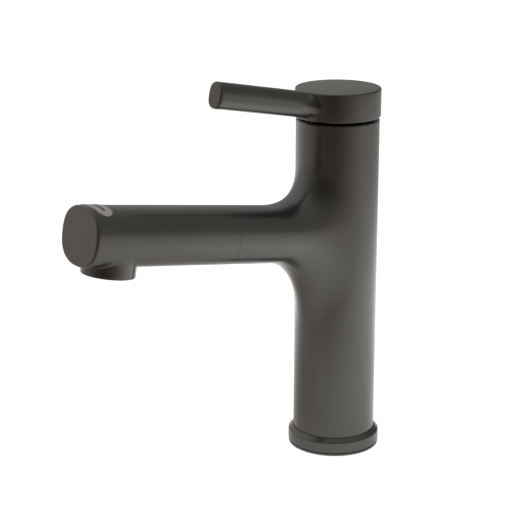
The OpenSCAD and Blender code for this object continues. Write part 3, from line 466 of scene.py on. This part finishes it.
class Wire:
    def __init__(self, tree, socket):
        self.tree, self.socket = tree, socket

    def maths(self, operation, *others, first=None):
        node = self.tree.nodes.new("ShaderNodeMath")
        node.operation = operation
        values = [self if first is None else first, *others]
        for pin, value in zip(node.inputs, values):
            if isinstance(value, Wire):
                self.tree.links.new(value.socket, pin)
            else:
                pin.default_value = value
        return Wire(self.tree, node.outputs[0])

    def __add__(self, other):
        return self.maths("ADD", other)

    def __radd__(self, other):
        return self.maths("ADD", self, first=other)

    def __sub__(self, other):
        return self.maths("SUBTRACT", other)

    def __rsub__(self, other):
        return self.maths("SUBTRACT", self, first=other)

    def __mul__(self, other):
        return self.maths("MULTIPLY", other)

    def __rmul__(self, other):
        return self.maths("MULTIPLY", self, first=other)

    def __truediv__(self, other):
        return self.maths("DIVIDE", other)

    def __rtruediv__(self, other):
        return self.maths("DIVIDE", self, first=other)

    def __pow__(self, other):
        return self.maths("POWER", other)

    def __gt__(self, other):
        return self.maths("GREATER_THAN", other)

    def sin(self):
        return self.maths("SINE")

    def abs(self):
        return self.maths("ABSOLUTE")

    def clip(self):
        return self.maths("MINIMUM", 1.0).maths("MAXIMUM", 0.0)

    def most(self, other):
        return self.maths("MAXIMUM", other)

    def between(self, low, high):
        return ((self - low) / (high - low)).clip()


class Shade:
    def __init__(self, tree):
        self.tree = tree
        tree.nodes.clear()

    def node(self, kind, output=0, settings=None, **pins):
        node = self.tree.nodes.new(kind)
        for key, value in (settings or {}).items():
            setattr(node, key, value)
        for key, value in pins.items():
            pin = node.inputs[int(key[1:]) if key[0] == "i" and key[1:].isdigit() else key.replace("_", " ")]
            if isinstance(value, Wire):
                self.tree.links.new(value.socket, pin)
            else:
                pin.default_value = value
        return node if output is None else Wire(self.tree, node.outputs[output])

    def colourMix(self, factor, low, high):
        return self.node("ShaderNodeMix", 2, {"data_type": "RGBA"}, i0=factor, i6=low, i7=high)

    def vector(self, operation, a, b):
        return self.node("ShaderNodeVectorMath", 0, {"operation": operation}, i0=a, i1=b)

    def split(self, vector):
        node = self.node("ShaderNodeSeparateXYZ", None, Vector=vector)
        return [Wire(self.tree, k) for k in node.outputs]

    def noise(self, where, scale, detail=2.0, rough=0.5):
        return self.node("ShaderNodeTexNoise", "Fac", None, Vector=where, Scale=scale, Detail=detail,
                         Roughness=rough)


def rgb(tone):
    return (*tone, 1.0)


def newFinish(name):
    material = bpy.data.materials.new(name)
    material.use_nodes = True
    shade = Shade(material.node_tree)
    return material, shade


def close(shade, **pins):
    bsdf = shade.node("ShaderNodeBsdfPrincipled", "BSDF", None, **pins)
    shade.node("ShaderNodeOutputMaterial", None, None, Surface=bsdf)


def stretched(shade, where, x, y, z):
    return shade.vector("MULTIPLY", where, (x, y, z))


# satin coating: fine bead-blast grain, cloudy tone, faint smudges and a few dust specks
def satinCoat(spec):
    material, sh = newFinish(spec["name"])
    where = sh.node("ShaderNodeTexCoord", "Object")
    cloud = sh.noise(where, spec["cloud"], 4.0, 0.55)
    grain = sh.noise(where, spec["grain"], 3.0, 0.6)
    pits = sh.noise(where, spec["grain"] * 0.23, 2.0, 0.5)
    smudge = sh.noise(stretched(sh, where, 1.0, 1.0, 0.35), spec["smudge"], 5.0, 0.62).between(0.5, 0.72)
    specks = sh.node("ShaderNodeTexVoronoi", "Distance", None, Vector=where,
                     Scale=spec["speckScale"]).between(0.075, 0.03)
    chance = sh.noise(where, spec["speckScale"] * 0.4, 0.0).between(0.6, 0.63)
    dust = specks * chance
    tone = (cloud.between(0.3, 0.7) * 0.6 + grain.between(0.25, 0.75) * 0.4).clip()
    base = sh.colourMix(tone, rgb(spec["dark"]), rgb(spec["light"]))
    base = sh.colourMix(dust * spec["dust"], base, rgb(spec["dustTone"]))
    rough = spec["rough"] + (cloud - 0.5) * spec["roughSpread"] + smudge * spec["smudgeRough"] + dust * 0.25
    rough = rough + (grain - 0.5) * 0.05
    height = grain * 0.7 + pits * 0.3
    normal = sh.node("ShaderNodeBump", "Normal", None, Strength=spec["bump"], Distance=spec["bumpDepth"],
                     Height=height)
    close(sh, Base_Color=base, Roughness=rough.clip(), Metallic=spec["metal"], Normal=normal,
          Coat_Weight=spec["coat"] + smudge * 0.05, Coat_Roughness=spec["coatRough"])
    return material


# turned metal: fine tool rings around an axis through a point, with a dull film
def turnedMetal(spec):
    material, sh = newFinish(spec["name"])
    where = sh.node("ShaderNodeTexCoord", "Object")
    x, y, z = sh.split(where)
    along = z * spec["axis"][2] + y * spec["axis"][1]
    wobble = sh.noise(where, 260.0, 2.0)
    rings = (along * spec["pitch"] + wobble * 1.5).sin() * 0.5 + 0.5
    film = sh.noise(where, 90.0, 5.0, 0.6)
    grain = sh.noise(where, 4200.0, 2.0)
    base = sh.colourMix(film.between(0.35, 0.7), rgb(spec["dark"]), rgb(spec["light"]))
    rough = spec["rough"] + film * 0.16 + rings * 0.05
    height = rings * 0.6 + grain * 0.4
    normal = sh.node("ShaderNodeBump", "Normal", None, Strength=0.25, Distance=0.00003, Height=height)
    close(sh, Base_Color=base, Roughness=rough.clip(), Metallic=spec["metal"], Normal=normal)
    return material


# moulded plastic or rubber: soft orange-peel, faint flow marks, dust in the texture
def moulded(spec):
    material, sh = newFinish(spec["name"])
    where = sh.node("ShaderNodeTexCoord", "Object")
    peel = sh.noise(where, spec["peel"], 3.0, 0.55)
    flow = sh.noise(stretched(sh, where, 1.0, 0.25, 1.0), 140.0, 4.0, 0.6)
    spots = sh.noise(where, 1900.0, 1.0).between(0.66, 0.74)
    base = sh.colourMix(flow.between(0.3, 0.7), rgb(spec["dark"]), rgb(spec["light"]))
    base = sh.colourMix(spots * 0.25, base, rgb(spec["spot"]))
    rough = spec["rough"] + (flow - 0.5) * 0.14 + (peel - 0.5) * 0.1
    normal = sh.node("ShaderNodeBump", "Normal", None, Strength=spec["bump"], Distance=0.00004,
                     Height=peel * 0.8 + flow * 0.2)
    close(sh, Base_Color=base, Roughness=rough.clip(), Metallic=spec.get("metal", 0.0), Normal=normal,
          Coat_Weight=spec["coat"], Coat_Roughness=0.25)
    return material


# braided hose: two sets of strands that cross, read from the mesh's own along and around values
def braided(spec):
    material, sh = newFinish(spec["name"])
    where = sh.node("ShaderNodeAttribute", "Vector", {"attribute_name": "braid"})
    around, along, _ = sh.split(where)
    left = (along * spec["pitch"] + around * spec["strands"]).sin()
    right = (along * spec["pitch"] - around * spec["strands"]).sin()
    over = ((along * spec["pitch"] * 0.5).sin() * (around * spec["strands"] * 0.5).sin()) > 0.0
    strand = left.abs() * over + right.abs() * (1.0 - over)
    fibre = sh.noise(sh.node("ShaderNodeTexCoord", "Object"), 3800.0, 2.0)
    fleck = ((along * spec["pitch"] * 0.25 + around * spec["strands"] * 0.25).sin()).between(0.86, 0.95)
    base = sh.colourMix(strand.between(0.1, 0.9), rgb(spec["dark"]), rgb(spec["light"]))
    base = sh.colourMix(fleck * 0.6, base, rgb(spec["fleck"]))
    rough = 0.42 + fibre * 0.2 - strand * 0.08
    normal = sh.node("ShaderNodeBump", "Normal", None, Strength=0.7, Distance=0.0003,
                     Height=strand * 0.85 + fibre * 0.15)
    close(sh, Base_Color=base, Roughness=rough, Metallic=0.0, Normal=normal)
    return material


graphite = {"name": "graphite_satin", "dark": (0.121, 0.117, 0.111), "light": (0.137, 0.133, 0.127),
            "rough": 0.27, "roughSpread": 0.05, "smudgeRough": 0.05, "cloud": 28.0, "smudge": 34.0,
            "grain": 5200.0, "bump": 0.12, "bumpDepth": 0.00002, "metal": 0.85, "coat": 0.12,
            "coatRough": 0.3, "speckScale": 330.0, "dust": 0.12, "dustTone": (0.3, 0.28, 0.26)}
graphiteEnd = dict(graphite, name="graphite_end", dark=(0.125, 0.116, 0.106), light=(0.140, 0.130, 0.118),
                   rough=0.33)
graphiteBase = dict(graphite, name="graphite_base", rough=0.25)
# painted shade: a near-black copy of the graphite for the inside of the cap, standing in for the shade seen
# through the gap under the cap
graphiteShadedInside = dict(graphite, name="graphite_inside_painted_shade", dark=(0.03, 0.027, 0.025), light=(0.045, 0.041, 0.038),
                    rough=0.5)
castRaw = {"name": "raw_casting", "dark": (0.36, 0.27, 0.13), "light": (0.55, 0.43, 0.22), "rough": 0.5,
           "roughSpread": 0.2, "smudgeRough": 0.1, "cloud": 60.0, "smudge": 50.0, "grain": 1400.0,
           "bump": 0.5, "bumpDepth": 0.00012, "metal": 1.0, "coat": 0.0, "coatRough": 0.3,
           "speckScale": 500.0, "dust": 0.2, "dustTone": (0.2, 0.16, 0.1)}
loopGrey = {"name": "button_grey", "dark": (0.60, 0.57, 0.54), "light": (0.68, 0.65, 0.62), "rough": 0.4,
            "peel": 2600.0, "bump": 0.1, "spot": (0.4, 0.39, 0.37), "coat": 0.15}
whitePom = {"name": "white_pom", "dark": (0.66, 0.65, 0.61), "light": (0.76, 0.75, 0.71), "rough": 0.38,
            "peel": 1300.0, "bump": 0.15, "spot": (0.5, 0.49, 0.45), "coat": 0.05}
greyPom = {"name": "grey_pom", "dark": (0.09, 0.095, 0.10), "light": (0.13, 0.135, 0.145), "rough": 0.42,
           "peel": 1300.0, "bump": 0.18, "spot": (0.2, 0.2, 0.21), "coat": 0.05}
blackPlug = {"name": "plug_graphite", "dark": (0.04, 0.038, 0.036), "light": (0.06, 0.056, 0.052),
             "rough": 0.4, "peel": 1800.0, "bump": 0.12, "spot": (0.1, 0.1, 0.1), "coat": 0.1}
rubberDark = {"name": "rubber_dark", "dark": (0.018, 0.018, 0.018), "light": (0.035, 0.034, 0.033),
              "rough": 0.62, "peel": 900.0, "bump": 0.25, "spot": (0.09, 0.085, 0.08), "coat": 0.0}
grooveDark = dict(rubberDark, name="groove_dark", rough=0.5, dark=(0.022, 0.021, 0.02),
                  light=(0.034, 0.032, 0.03))
gasketGrey = {"name": "gasket_grey", "dark": (0.2, 0.195, 0.19), "light": (0.26, 0.255, 0.245), "rough": 0.5,
              "peel": 1500.0, "bump": 0.2, "spot": (0.26, 0.25, 0.24), "coat": 0.0}
ceramic = {"name": "lapped_ceramic", "dark": (0.74, 0.72, 0.66), "light": (0.82, 0.80, 0.75), "rough": 0.18,
           "peel": 5000.0, "bump": 0.04, "spot": (0.6, 0.58, 0.52), "coat": 0.3}
brass = {"name": "turned_brass", "dark": (0.56, 0.40, 0.16), "light": (0.72, 0.54, 0.25), "rough": 0.18,
         "metal": 1.0, "pitch": 26000.0, "axis": (0, 0.3, 1)}
blackened = dict(brass, name="blackened_brass", dark=(0.03, 0.028, 0.025), light=(0.06, 0.055, 0.05),
                 rough=0.35)
copper = dict(brass, name="drawn_copper", dark=(0.52, 0.26, 0.15), light=(0.68, 0.37, 0.23), pitch=9000.0)
steel = dict(brass, name="turned_steel", dark=(0.42, 0.42, 0.43), light=(0.56, 0.56, 0.57), rough=0.2)
braid = {"name": "hose_weave", "dark": (0.03, 0.032, 0.035), "light": (0.15, 0.155, 0.165),
         "fleck": (0.45, 0.46, 0.48), "pitch": 2600.0, "strands": 12.0}
coat, coatEnd, coatBase, coatShadedInside, casting = (
    satinCoat(k) for k in (graphite, graphiteEnd, graphiteBase, graphiteShadedInside, castRaw))
grey, pom, pomGrey, plugDark, rubber, groove, gasket, disc = (
    moulded(k) for k in (loopGrey, whitePom, greyPom, blackPlug, rubberDark, grooveDark, gasketGrey, ceramic))
brassMat, brassDark, copperMat, steelMat = (turnedMetal(k) for k in (brass, blackened, copper, steel))
weave = braided(braid)


def dress(obj, material):
    obj.data.materials.clear()
    obj.data.materials.append(material)


# the weave is spaced for the drawn-out hose: the slack part, hidden when docked, is laid on closely
alongLine = np.concatenate([[0], np.cumsum(np.linalg.norm(np.diff(line[:, :2], axis=0), axis=1))])
onAxis = alongLine - alongLine[-1] + hose["end"]
slack = np.clip((onAxis - hose["slackFrom"]) / (hose["slackTo"] - hose["slackFrom"]), 0, 1)
alongLine = alongLine + hose["pull"] * slack * slack * (3 - 2 * slack)
grid = (len(line), len(hoseTurn))
weaveAt = np.stack([np.broadcast_to(hoseTurn[None], grid), np.broadcast_to(alongLine[:, None] * mm, grid),
                    np.zeros(grid)], -1)
braidAt = hoseSkin.data.attributes.new("braid", "FLOAT_VECTOR", "POINT")
braidAt.data.foreach_set("vector", weaveAt.astype(np.float32).ravel())
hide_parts("spray_hose")
dress(hoseSkin, weave)
for obj in (castSkin, rimRing, capSkin, barSkin, headSkin, collarSkin):
    dress(obj, coat)
for obj in (faceSkin, leverEnd):
    dress(obj, coatEnd)
dress(ringSkin, coatBase)
dress(gasketSkin, gasket)
dress(castInside, casting)
# the cap's inside gets the painted-shade copy of the graphite
dress(capInside, coatShadedInside)
dress(plugSkin, plugDark)
dress(plugJoint, groove)
dress(loopSkin, grey)
dress(grooveSkin, groove)
carried = {
    "hose_guide": pom, "hose_tail": brassMat, "tail_seals": rubber, "cold_pipe": copperMat,
    "hot_pipe": copperMat, "mixed_pipe": copperMat, "pipe_seals": rubber, "valve_carrier": pom,
    "port_seals": rubber, "cartridge_base": pomGrey, "fixed_disc": disc, "cartridge_housing": pomGrey,
    "retaining_nut": brassDark, "docking_sleeve": pomGrey, "stem_rotor": pomGrey, "pivot_pin": steelMat,
    "moving_disc": disc, "disc_driver": pomGrey, "cartridge_stem": brassDark, "grub_screw": steelMat,
    "spray_core": pom, "spray_inlet": brassMat, "check_valve": pom, "inlet_washer": rubber,
    "hose_nut": brassMat, "hose_insert": brassMat, "hose_ferrule": steelMat, "nozzle_plate": pomGrey,
    "nozzle_mat": rubber, "aerator_body": pom, "aerator_screen": steelMat, "face_seal": rubber,
    "button_spring": steelMat, "diverter_spool": steelMat, "spool_seals": rubber,
}
for name, material in carried.items():
    dress(carry(name), material)
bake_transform(hoseSkin)
print("materials on the drawn pieces and on", len(carried), "nodes")

# ---------- stage: a round white floor, and the studio around it

def radial(name, radius, rings=40, count=96):
    k = np.linspace(0, 1, rings)[:, None] ** 1.4 * radius
    t = turns(count)
    pts = np.stack([k * np.cos(t), k * np.sin(t), np.zeros((rings, count)) - 0.2], -1)
    return addMesh(name, pts, gridFaces(rings, count))


eyeAt = Vector((662.27, -579.35, 370.20)) * mm


# a level direction, in degrees round from the camera, positive towards its right
def heading(azimuth):
    a = math.atan2(eyeAt.y, eyeAt.x) + math.radians(azimuth)
    return (math.cos(a), math.sin(a), 0.0)


def towards(shade, way, azimuth):
    return shade.node("ShaderNodeVectorMath", "Value", {"operation": "DOT_PRODUCT"}, i0=way,
                      i1=heading(azimuth))


floor = radial("floor", 2600.0)
material, sh = newFinish("floor_white")
where = sh.node("ShaderNodeTexCoord", "Object")
flatWay = sh.vector("MULTIPLY", where, (1, 1, 0))
away = sh.node("ShaderNodeVectorMath", "Value", {"operation": "LENGTH"}, i0=flatWay)
flatWay = sh.node("ShaderNodeVectorMath", 0, {"operation": "NORMALIZE"}, i0=flatWay)
path = sh.node("ShaderNodeLightPath", None)
seen = Wire(sh.tree, path.outputs["Is Camera Ray"]) + Wire(sh.tree, path.outputs["Is Transmission Ray"])
# reach: 0 at the body's foot, 1 at the far edge of the lit sweep, in even ratios
reach = (away / 0.03).maths("LOGARITHM", 650 / 30)
sweep = {"near": 0.78, "mid": 0.155, "far": -0.555, "panel": 142.0, "nearPanel": 0.226, "midPanel": 0.40,
         "farPanel": -0.43, "cards": -4.5, "farCards": 0.18, "window": -152.0, "windowGlow": 0.5}
level = sweep["near"] + reach.between(0, 0.5) * sweep["mid"] + reach.between(0.75, 1) * sweep["far"]
side = reach.between(0, 0.3) * sweep["nearPanel"] + reach.between(0.5, 0.75) * sweep["midPanel"]
side = side + reach.between(0.75, 1) * sweep["farPanel"]
cards = towards(sh, flatWay, sweep["cards"]) ** 2.0 * 2.0 - 1.0
level = level + side * towards(sh, flatWay, sweep["panel"]) - cards * reach.between(0.75,
                                                                                    1) * sweep["farCards"]
window = towards(sh, flatWay, sweep["window"]).most(0.0) ** 4.0
level = level + window * reach.between(0.2, 0.7) * sweep["windowGlow"]
# painted shadow: a soft dark patch in the floor's glow, under and left of the spout, stands in for the spout's
# shadow on the floor that the metal reflects
under = sh.node("ShaderNodeVectorMath", "Value", {"operation": "DISTANCE"}, i0=where, i1=(-0.1, -0.08, 0.0))
level = level * (1.0 - under.between(0.16, 0.04) * 0.42) + 0.055
speckle = sh.noise(where, 900.0, 2.0)
shadeTint = sh.colourMix(level.between(0.2, 0.7), (1.12, 0.88, 0.70, 1.0), (1.0, 0.99, 0.975, 1.0))
shadeTint = sh.colourMix(seen, shadeTint, (1.0, 1.0, 1.0, 1.0))
glow = sh.node("ShaderNodeEmission", 0, None, Color=shadeTint,
               Strength=seen * 0.86 + (1.0 - seen) * level.most(0.02))
matte = sh.node("ShaderNodeBsdfDiffuse", 0, None, Color=(0.8, 0.8, 0.8, 1.0), Roughness=0.6 + speckle * 0.1)
bare = sh.node("ShaderNodeEmission", 0, None, Color=(0, 0, 0, 1), Strength=0.0)
shaded = sh.node("ShaderNodeMixShader", 0, None, i0=seen, i1=bare, i2=matte)
both = sh.node("ShaderNodeAddShader", 0, None, i0=glow, i1=shaded)
sh.node("ShaderNodeOutputMaterial", None, None, Surface=both)
dress(floor, material)

world = bpy.data.worlds.new("studio")
bpy.context.scene.world = world
world.use_nodes = True
sky = Shade(world.node_tree)
way = sky.node("ShaderNodeTexCoord", "Generated")
path = sky.node("ShaderNodeLightPath", None)
seen = Wire(sky.tree, path.outputs["Is Camera Ray"]) + Wire(sky.tree, path.outputs["Is Transmission Ray"])
dome = {"low": 0.297, "high": 0.205, "panel": 0.157, "panelHigh": 0.102, "panelWay": -135.0, "cards": 0.176,
        "cardsWay": -28.0}
height = sky.split(way)[2].most(0.0)
panel = towards(sky, way, dome["panelWay"])
cards = towards(sky, way, dome["cardsWay"]) ** 2.0 * 2.0 - 1.0 + height * height
level = dome["low"] + height * height * dome["high"] + (dome["panel"] + height * dome["panelHigh"]) * panel
level = level - cards * dome["cards"]
tint = sky.colourMix(level.between(0.1, 0.5), (1.0, 0.94, 0.86, 1.0), (1.0, 0.99, 0.975, 1.0))
tint = sky.colourMix(seen, tint, (1.0, 1.0, 1.0, 1.0))
level = seen * 1.0 + (1.0 - seen) * level.most(0.02)
background = sky.node("ShaderNodeBackground", 0, None, Color=tint, Strength=level)
sky.node("ShaderNodeOutputWorld", None, None, Surface=background)

camera = bpy.data.cameras.new("camera")
camera.sensor_width = 36.0
camera.lens = 115.31
camera.shift_x, camera.shift_y = 0.0005, -0.0006
camera.clip_start, camera.clip_end = 0.05, 20.0
eye = bpy.data.objects.new("camera", camera)
right, upward = Vector((0.6186, 0.7857, 0.0005)), Vector((-0.2225, 0.1745, 0.9592))
ahead = Vector((-0.7535, 0.5935, -0.2827))
turnTo = Matrix((right, upward, -ahead)).transposed().to_4x4()
eye.matrix_world = Matrix.Translation(eyeAt) @ turnTo
bpy.context.collection.objects.link(eye)
bpy.context.scene.camera = eye
bpy.context.scene.view_settings.view_transform = "Standard"
print("stage and camera set")
